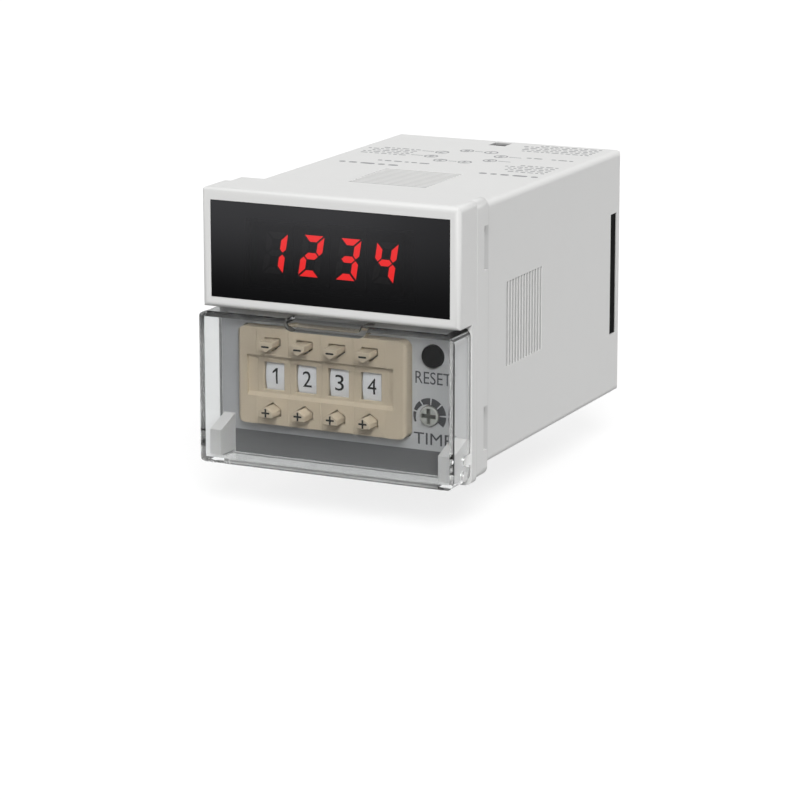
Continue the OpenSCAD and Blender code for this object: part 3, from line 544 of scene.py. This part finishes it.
def soften(node, width_mm):
    """Breaks a moulding's sharp edges: flat faces are merged first, so that only real edges are rounded."""
    thing = nodes[node]
    weld = thing.modifiers.new("weld", "WELD")
    weld.merge_threshold = WELD_REACH * MM
    flat = thing.modifiers.new("flat", "DECIMATE")
    flat.decimate_type = "DISSOLVE"
    flat.angle_limit = FLAT_LIMIT
    edge = thing.modifiers.new("edge", "BEVEL")
    edge.width = width_mm * MM
    edge.segments = EDGE_SEGMENTS
    edge.limit_method = "ANGLE"
    edge.angle_limit = SHARP_LIMIT
    edge.use_clamp_overlap = True
    edge.harden_normals = True


for switch in SWITCHES:
    soften("switch_module_%d" % switch, SWITCH_EDGE)
    for kind in ("minus_button", "plus_button"):
        soften("%s_%d" % (kind, switch), BUTTON_EDGE)
for side in ("left", "right"):
    soften("switch_end_cap_%s" % side, SWITCH_EDGE)
for moulding in ("front_bezel", "plug_base"):
    soften(moulding, MOULDING_EDGE)


# Printed marks: flat outlines laid on a face of the part

PRINT_LIFT = 0.025
PRINT_SINK = 0.02
LETTER_STEPS = 5
LETTER_WELD = 1e-5
BAR_END_STEPS = 6
HALF_RING_STEPS = 20


class Face:
    """A flat face: its origin and its directions across, up and out, in millimetres."""

    def __init__(self, origin, across, up):
        self.origin = Vector(origin)
        self.across = Vector(across)
        self.up = Vector(up)
        self.out = self.across.cross(self.up)

    def __call__(self, u, v, lift):
        return self.origin + self.across * u + self.up * v + self.out * lift


def front_face(y):
    """A face that looks to the front."""
    return Face((0, y, 0), (1, 0, 0), (0, 0, 1))


class Rim:
    """The outside of a number wheel: u runs along the axle and v round the rim from a start angle."""

    def __init__(self, middle, radius, start):
        self.middle = middle
        self.radius = radius
        self.start = start

    def __call__(self, u, v, lift):
        turn = self.start + v / self.radius
        reach = self.radius + lift
        return self.middle + Vector((u, -reach * math.cos(turn), reach * math.sin(turn)))


def words_mesh(words):
    """Flat filled letters as a mesh, from a text curve that is removed again."""
    curve = bpy.data.curves.new("letters", "FONT")
    curve.body = words
    curve.resolution_u = LETTER_STEPS
    writer = bpy.data.objects.new("letters", curve)
    scene.collection.objects.link(writer)
    bpy.context.view_layer.update()
    ready = writer.evaluated_get(bpy.context.evaluated_depsgraph_get())
    mesh = bpy.data.meshes.new_from_object(ready)
    bpy.data.objects.remove(writer)
    bpy.data.curves.remove(curve)
    return mesh


def letters(words, low, high):
    """Letters that fill a box on a face."""
    form = bmesh.new()
    mesh = words_mesh(words)
    form.from_mesh(mesh)
    bpy.data.meshes.remove(mesh)
    bmesh.ops.remove_doubles(form, verts=form.verts, dist=LETTER_WELD)
    spans = [(min(p.co[i] for p in form.verts), max(p.co[i] for p in form.verts)) for i in (0, 1)]
    for point in form.verts:
        for i, (start, end) in enumerate(spans):
            point.co[i] = low[i] + (point.co[i] - start) / (end - start) * (high[i] - low[i])
        point.co.z = 0
    return form


def outlines(loops):
    """Flat shapes from closed loops of points."""
    form = bmesh.new()
    for loop in loops:
        form.faces.new([form.verts.new((u, v, 0)) for u, v in loop])
    return form


def bar(middle, length, thickness):
    """A level line of print with round ends, as a loop of points."""
    radius = thickness / 2
    half = length / 2 - radius
    loop = []
    for end, first in ((half, -math.pi / 2), (-half, math.pi / 2)):
        for k in range(BAR_END_STEPS + 1):
            angle = first + math.pi * k / BAR_END_STEPS
            loop.append((middle[0] + end + radius * math.cos(angle), middle[1] + radius * math.sin(angle)))
    return loop


def arc_band(middle, outer, inner, start, end, steps=10):
    """Part of a ring between two angles, its inner radius given at both ends."""
    turns = [start + (end - start) * k / steps for k in range(steps + 1)]
    loop = [(middle[0] + outer * math.cos(t), middle[1] + outer * math.sin(t)) for t in turns]
    for k in range(steps, -1, -1):
        radius = inner[0] + (inner[1] - inner[0]) * k / steps
        loop.append((middle[0] + radius * math.cos(turns[k]), middle[1] + radius * math.sin(turns[k])))
    return loop


def ring_halves(middle, outer, inner):
    """A whole ring as two bands."""
    return [arc_band(middle, outer, (inner, inner), start, start + math.pi, HALF_RING_STEPS)
            for start in (0, math.pi)]


def plus_loop(middle, length, thickness):
    """Outline of a plus sign."""
    a, b = thickness / 2, length / 2
    corners = [(a, a), (a, b), (-a, b), (-a, a), (-b, a), (-b, -a),
               (-a, -a), (-a, -b), (a, -b), (a, -a), (b, -a), (b, a)]
    return [(middle[0] + u, middle[1] + v) for u, v in corners]


def printed(name, form, face, body, finish, slice_mm=None):
    """Gives flat shapes the thickness of ink on a face and makes them a piece that rides on a body."""
    if slice_mm:
        heights = [p.co.y for p in form.verts]
        level = min(heights) + slice_mm
        while level < max(heights):
            bmesh.ops.bisect_plane(form, geom=form.verts[:] + form.edges[:] + form.faces[:],
                                   plane_co=(0, level, 0), plane_no=(0, 1, 0))
            level += slice_mm
    form.normal_update()
    bmesh.ops.triangulate(form, faces=form.faces)
    under = form.faces[:]
    made = bmesh.ops.duplicate(form, geom=form.verts[:] + form.edges[:] + under)
    upper = made["vert_map"]
    rims = [edge for flat in under for edge in flat.edges if len(edge.link_faces) == 1]
    tops = [item for item in made["geom"] if isinstance(item, bmesh.types.BMVert)]
    for point in form.verts:
        point.co.z = -PRINT_SINK
    for point in tops:
        point.co.z = PRINT_LIFT
    for edge in rims:
        a, b = edge.verts
        form.faces.new((a, b, upper[b], upper[a]))
    for point in form.verts:
        point.co = face(*point.co) * MM
    bmesh.ops.recalc_face_normals(form, faces=form.faces)
    mesh = bpy.data.meshes.new(name)
    form.to_mesh(mesh)
    form.free()
    mesh.materials.append(finish.material)
    piece = bpy.data.objects.new(name, mesh)
    scene.collection.objects.link(piece)
    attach(piece, body)


# Words and ring on the silver label: each word's box from its lower left to its upper right corner
LABEL_WORDS = (
    ("reset_word", "RESET", (13.9, -7.2), (20.5, -5.1)),
    ("time_word", "TIME", (13.6, -17.6), (20.65, -15.6)),
)
RING_OUTER = 3.03
RING_THIN = 0.3
RING_THICK = 1.24
RING_START = math.radians(208)
RING_FULL = math.radians(80)
RING_END = math.radians(-38)
RING_PARTS = 6
RING_GAP = math.radians(5.5)


def ring_inner(angle):
    """Inner radius of the printed ring, which grows thicker clockwise until it keeps its full width."""
    share = min((RING_START - angle) / (RING_START - RING_FULL), 1.0)
    return RING_OUTER - RING_THIN - (RING_THICK - RING_THIN) * share


def ring_loops(middle):
    """The parts of the printed ring, with gaps between them."""
    step = (RING_START - RING_END) / RING_PARTS
    loops = []
    for k in range(RING_PARTS):
        start = RING_START - k * step - RING_GAP / 2
        end = start - step + RING_GAP
        loops.append(arc_band(middle, RING_OUTER, (ring_inner(start), ring_inner(end)), start, end))
    return loops


label_face = front_face(box_mm("front_label")[0].y)
for name, words, low, high in LABEL_WORDS:
    printed(name, letters(words, low, high), label_face, "housing", grey_print)
low, high = box_mm("time_trimmer")
ring_middle = ((low.x + high.x) / 2, (low.z + high.z) / 2)
printed("time_ring", outlines(ring_loops(ring_middle)), label_face, "housing", grey_print)

# Numbers on the wheels; each wheel shows its own number at rest
NUMBERS = 10
NUMBER_TURN = math.radians(36)
NUMBER_HIGH = 2.75
NUMBER_WIDE = 1.65
NUMBER_SLICE = 0.3
RIM_HALF = 1.75
# The number one: widths of the whole and of its stem, then how far its flag's corners lie below its top
ONE_WIDE = 0.95
ONE_STEM = 0.34
FLAG_UPPER = 0.62
FLAG_LOWER = 0.98
FLAG_ROOT = 0.55


def one_loop(middle=(0, 0), size=1.0):
    """The number one: a stem with a flag to its left."""
    top, right, left = NUMBER_HIGH / 2, ONE_WIDE / 2, -ONE_WIDE / 2
    stem = right - ONE_STEM
    corners = [(right, -top), (right, top), (stem, top), (left, top - FLAG_UPPER), (left, top - FLAG_LOWER),
               (stem, top - FLAG_ROOT), (stem, -top)]
    return [(middle[0] + u * size, middle[1] + v * size) for u, v in corners]


for switch in SWITCHES:
    low, high = box_mm("number_wheel_%d" % switch)
    radius = (high.z - low.z) / 2
    middle = Vector((low.x + RIM_HALF, (low.y + high.y) / 2, (low.z + high.z) / 2))
    reach = Vector((NUMBER_WIDE / 2, NUMBER_HIGH / 2))
    for number in range(NUMBERS):
        form = outlines([one_loop()]) if number == 1 else letters(str(number), -reach, reach)
        rim = Rim(middle, radius, NUMBER_TURN * (switch - number))
        printed("wheel_%d_number_%d" % (switch, number), form, rim, "wheel_%d" % switch,
                dark_print, NUMBER_SLICE)

# Signs on the push buttons, a little past the middle from the button's tip to its shoulder
SIGN_LONG = 1.5
SIGN_THICK = 0.32
SIGN_PLACE = 0.56
BUTTON_SHOULDER = 0.45
for switch in SWITCHES:
    for kind, outline in (("minus", bar), ("plus", plus_loop)):
        low, high = box_mm("%s_button_%d" % (kind, switch))
        if kind == "minus":
            tip, shoulder = low.z, high.z - BUTTON_SHOULDER
        else:
            tip, shoulder = high.z, low.z + BUTTON_SHOULDER
        spot = ((low.x + high.x) / 2, tip + (shoulder - tip) * SIGN_PLACE)
        sign = outline(spot, SIGN_LONG, SIGN_THICK)
        printed("%s_sign_%d" % (kind, switch), outlines([sign]), front_face(low.y), "%s_%d" % (kind, switch),
                dark_print)

# Wiring marks on the case's top, read from behind: the plug's numbered pins in a circle, with leads and
# rows of dashes
PINS = 8
PIN_MIDDLE = (0.0, -43.4)
PIN_CIRCLE = 6.3
PIN_FIRST = math.radians(-112.5)
LEAD_PINS = (2, 3, 6, 7)
JOINED_PINS = ((4, 5), (1, 8))
MARK_RADIUS = 1.3
MARK_HALF_HIGH = 0.72
MARK_HALF_WIDE = 0.48
MARK_LINE = 0.26
MARK_GAP = 0.3
LEAD_LONG = 2.4
# Lengths of the dashes and the gap between them, for each millimetre of their thickness
DASH_LENGTHS = (1.9, 1.3, 2.8, 1.6, 1.2, 2.3)
DASH_GAP = 0.7
# Rows of dashes: start across, place along the case, length and thickness
DASH_ROWS = (
    (6.8, -29.2, 11.6, 1.0), (-20.6, -28.2, 11.2, 1.0), (2.5, -33.2, 11.4, 0.7),
    (-20.2, -32.0, 7.0, 0.5), (-20.2, -33.6, 9.0, 0.5), (-20.2, -35.2, 8.4, 0.5),
    (-20.2, -36.8, 10.0, 0.5), (-20.2, -38.4, 7.6, 0.5),
    (10.4, -40.0, 9.4, 0.5), (10.4, -41.6, 9.8, 0.5), (10.4, -43.2, 8.6, 0.5),
    (10.4, -44.8, 9.8, 0.5), (10.4, -46.4, 7.4, 0.5),
    (-19.7, -46.4, 4.7, 0.6), (-13.7, -46.4, 3.2, 0.6),
    (-19.8, -53.4, 13.4, 0.5), (-19.8, -55.0, 14.6, 0.5), (-19.8, -56.6, 14.0, 0.5),
    (-19.8, -58.2, 14.8, 0.5), (-19.8, -59.8, 12.2, 0.5),
)


def dash_row(first, start, along, length, thickness):
    """A row of dashes of mixed lengths, from the first one on, which fills a length."""
    loops = []
    done = 0.0
    for share in itertools.islice(itertools.cycle(DASH_LENGTHS), first, None):
        dash = min(share * thickness, length - done)
        if dash < thickness:
            return loops
        loops.append(bar((start + done + dash / 2, along), dash, thickness))
        done += dash + DASH_GAP * thickness


def pin_place(pin):
    """Middle of a pin's ring; the pins run clockwise from the lower left."""
    turn = PIN_FIRST - math.tau / PINS * (pin - 1)
    return PIN_MIDDLE[0] + PIN_CIRCLE * math.cos(turn), PIN_MIDDLE[1] + PIN_CIRCLE * math.sin(turn)


top_face = Face((0, 0, box_mm("case")[1].z), (-1, 0, 0), (0, -1, 0))
mark_loops = [loop for first, row in enumerate(DASH_ROWS) for loop in dash_row(first, *row)]
for pin in range(1, PINS + 1):
    u, v = pin_place(pin)
    mark_loops += ring_halves((u, v), MARK_RADIUS, MARK_RADIUS - MARK_LINE)
    if pin == 1:
        form = outlines([one_loop((u, v), 2 * MARK_HALF_HIGH / NUMBER_HIGH)])
    else:
        form = letters(str(pin), (u - MARK_HALF_WIDE, v - MARK_HALF_HIGH),
                       (u + MARK_HALF_WIDE, v + MARK_HALF_HIGH))
    printed("case_number_%d" % pin, form, top_face, "housing", case_print)
for pin in LEAD_PINS:
    u, v = pin_place(pin)
    reach = MARK_RADIUS + MARK_GAP + LEAD_LONG / 2
    mark_loops.append(bar((u + math.copysign(reach, u), v), LEAD_LONG, MARK_LINE))
for one, other in JOINED_PINS:
    (u, v), far = pin_place(one), pin_place(other)
    between = abs(far[0] - u) - 2 * (MARK_RADIUS + MARK_GAP)
    mark_loops.append(bar(((u + far[0]) / 2, v), between, MARK_LINE))
printed("case_marks", outlines(mark_loops), top_face, "housing", case_print)


# Camera, light and floor

CAMERA_PLACE = (0.24306, -0.49294, 0.11933)
CAMERA_VIEW = (-0.41881, 0.88379, -0.20863)
CAMERA_LENS = 148.77
CAMERA_WIDTH = 36.0
CAMERA_SHIFT = (-0.0129, -0.1094)
camera_data = bpy.data.cameras.new("camera")
camera_data.lens = CAMERA_LENS
camera_data.sensor_width = CAMERA_WIDTH
camera_data.shift_x, camera_data.shift_y = CAMERA_SHIFT
camera = bpy.data.objects.new("camera", camera_data)
camera.location = CAMERA_PLACE
camera.rotation_euler = Vector(CAMERA_VIEW).to_track_quat("-Z", "Y").to_euler()
scene.collection.objects.link(camera)
scene.camera = camera

KEY_FROM = Vector((0.40, -0.68, 0.62))
KEY_STRENGTH = 2.55
KEY_SPREAD = math.radians(24)
key_data = bpy.data.lights.new("key", "SUN")
key_data.energy = KEY_STRENGTH
key_data.angle = KEY_SPREAD
key = bpy.data.objects.new("key", key_data)
key.rotation_euler = KEY_FROM.to_track_quat("Z", "Y").to_euler()
scene.collection.objects.link(key)

# A soft room: white where it is seen, white behind the part and dark before it in mirrors and glass
ROOM_LIGHT = 0.53
ROOM_MIRRORED = 0.1
BACKDROP_EDGE = (0.45, 0.75)
world = bpy.data.worlds.new("room")
world.use_nodes = True
scene.world = world
room = Nodes(world.node_tree)
background = world.node_tree.nodes["Background"]
background.inputs["Color"].default_value = WHITE
way = room.node("ShaderNodeTexCoord", out="Generated")
backdrop = room.node("ShaderNodeSeparateXYZ", {}, {"Vector": way}, out="Y").ramp(*BACKDROP_EDGE)
mirrored = room.rays("Is Glossy Ray", "Is Transmission Ray")
lit = ROOM_LIGHT + (ROOM_MIRRORED + (1 - ROOM_MIRRORED) * backdrop - ROOM_LIGHT) * mirrored
seen = room.rays("Is Camera Ray").larger(room.rays("Is Transmission Ray") * room.straight() * backdrop)
world.node_tree.links.new((lit + (1 - lit) * seen).socket, background.inputs["Strength"])

# A floor that keeps the shadow, glows white where it is seen and is see-through from below
FLOOR_Z = -32.5
FLOOR_RADIUS = 4000
FLOOR_SIDES = 64
FLOOR_TONE = 0.25
FLOOR_DRIFT = 0.01
FLOOR_WHITE = 0.8
FLOOR_GLOW = (-70, -10)
floor_form = bmesh.new()
bmesh.ops.create_circle(floor_form, cap_ends=True, segments=FLOOR_SIDES, radius=FLOOR_RADIUS * MM,
                        matrix=Matrix.Translation((0, 0, FLOOR_Z * MM)))
floor_mesh = bpy.data.meshes.new("floor")
floor_form.to_mesh(floor_mesh)
floor_form.free()
floor = bpy.data.objects.new("floor", floor_mesh)
scene.collection.objects.link(floor)
ground = Finish("floor", {"Roughness": 1.0, "Specular IOR Level": 0.0, "Emission Strength": 1.0})
ground.feed("Base Color", ground.mix(shaded(WHITE, FLOOR_TONE - FLOOR_DRIFT),
                                     shaded(WHITE, FLOOR_TONE + FLOOR_DRIFT), ground.noise(per_mm=0.004)))
floor_mirrored = ground.rays("Is Glossy Ray", "Is Transmission Ray") * ground.straight()
glow = (ground.rays("Is Camera Ray") * FLOOR_WHITE).larger(floor_mirrored * ground.y.ramp(*FLOOR_GLOW))
ground.feed("Emission Color", ground.mix(BLACK, WHITE, glow))
ground.feed("Alpha", 1 - ground.node("ShaderNodeNewGeometry", out="Backfacing"))
floor_mesh.materials.append(ground.material)

scene.view_settings.view_transform = "Standard"
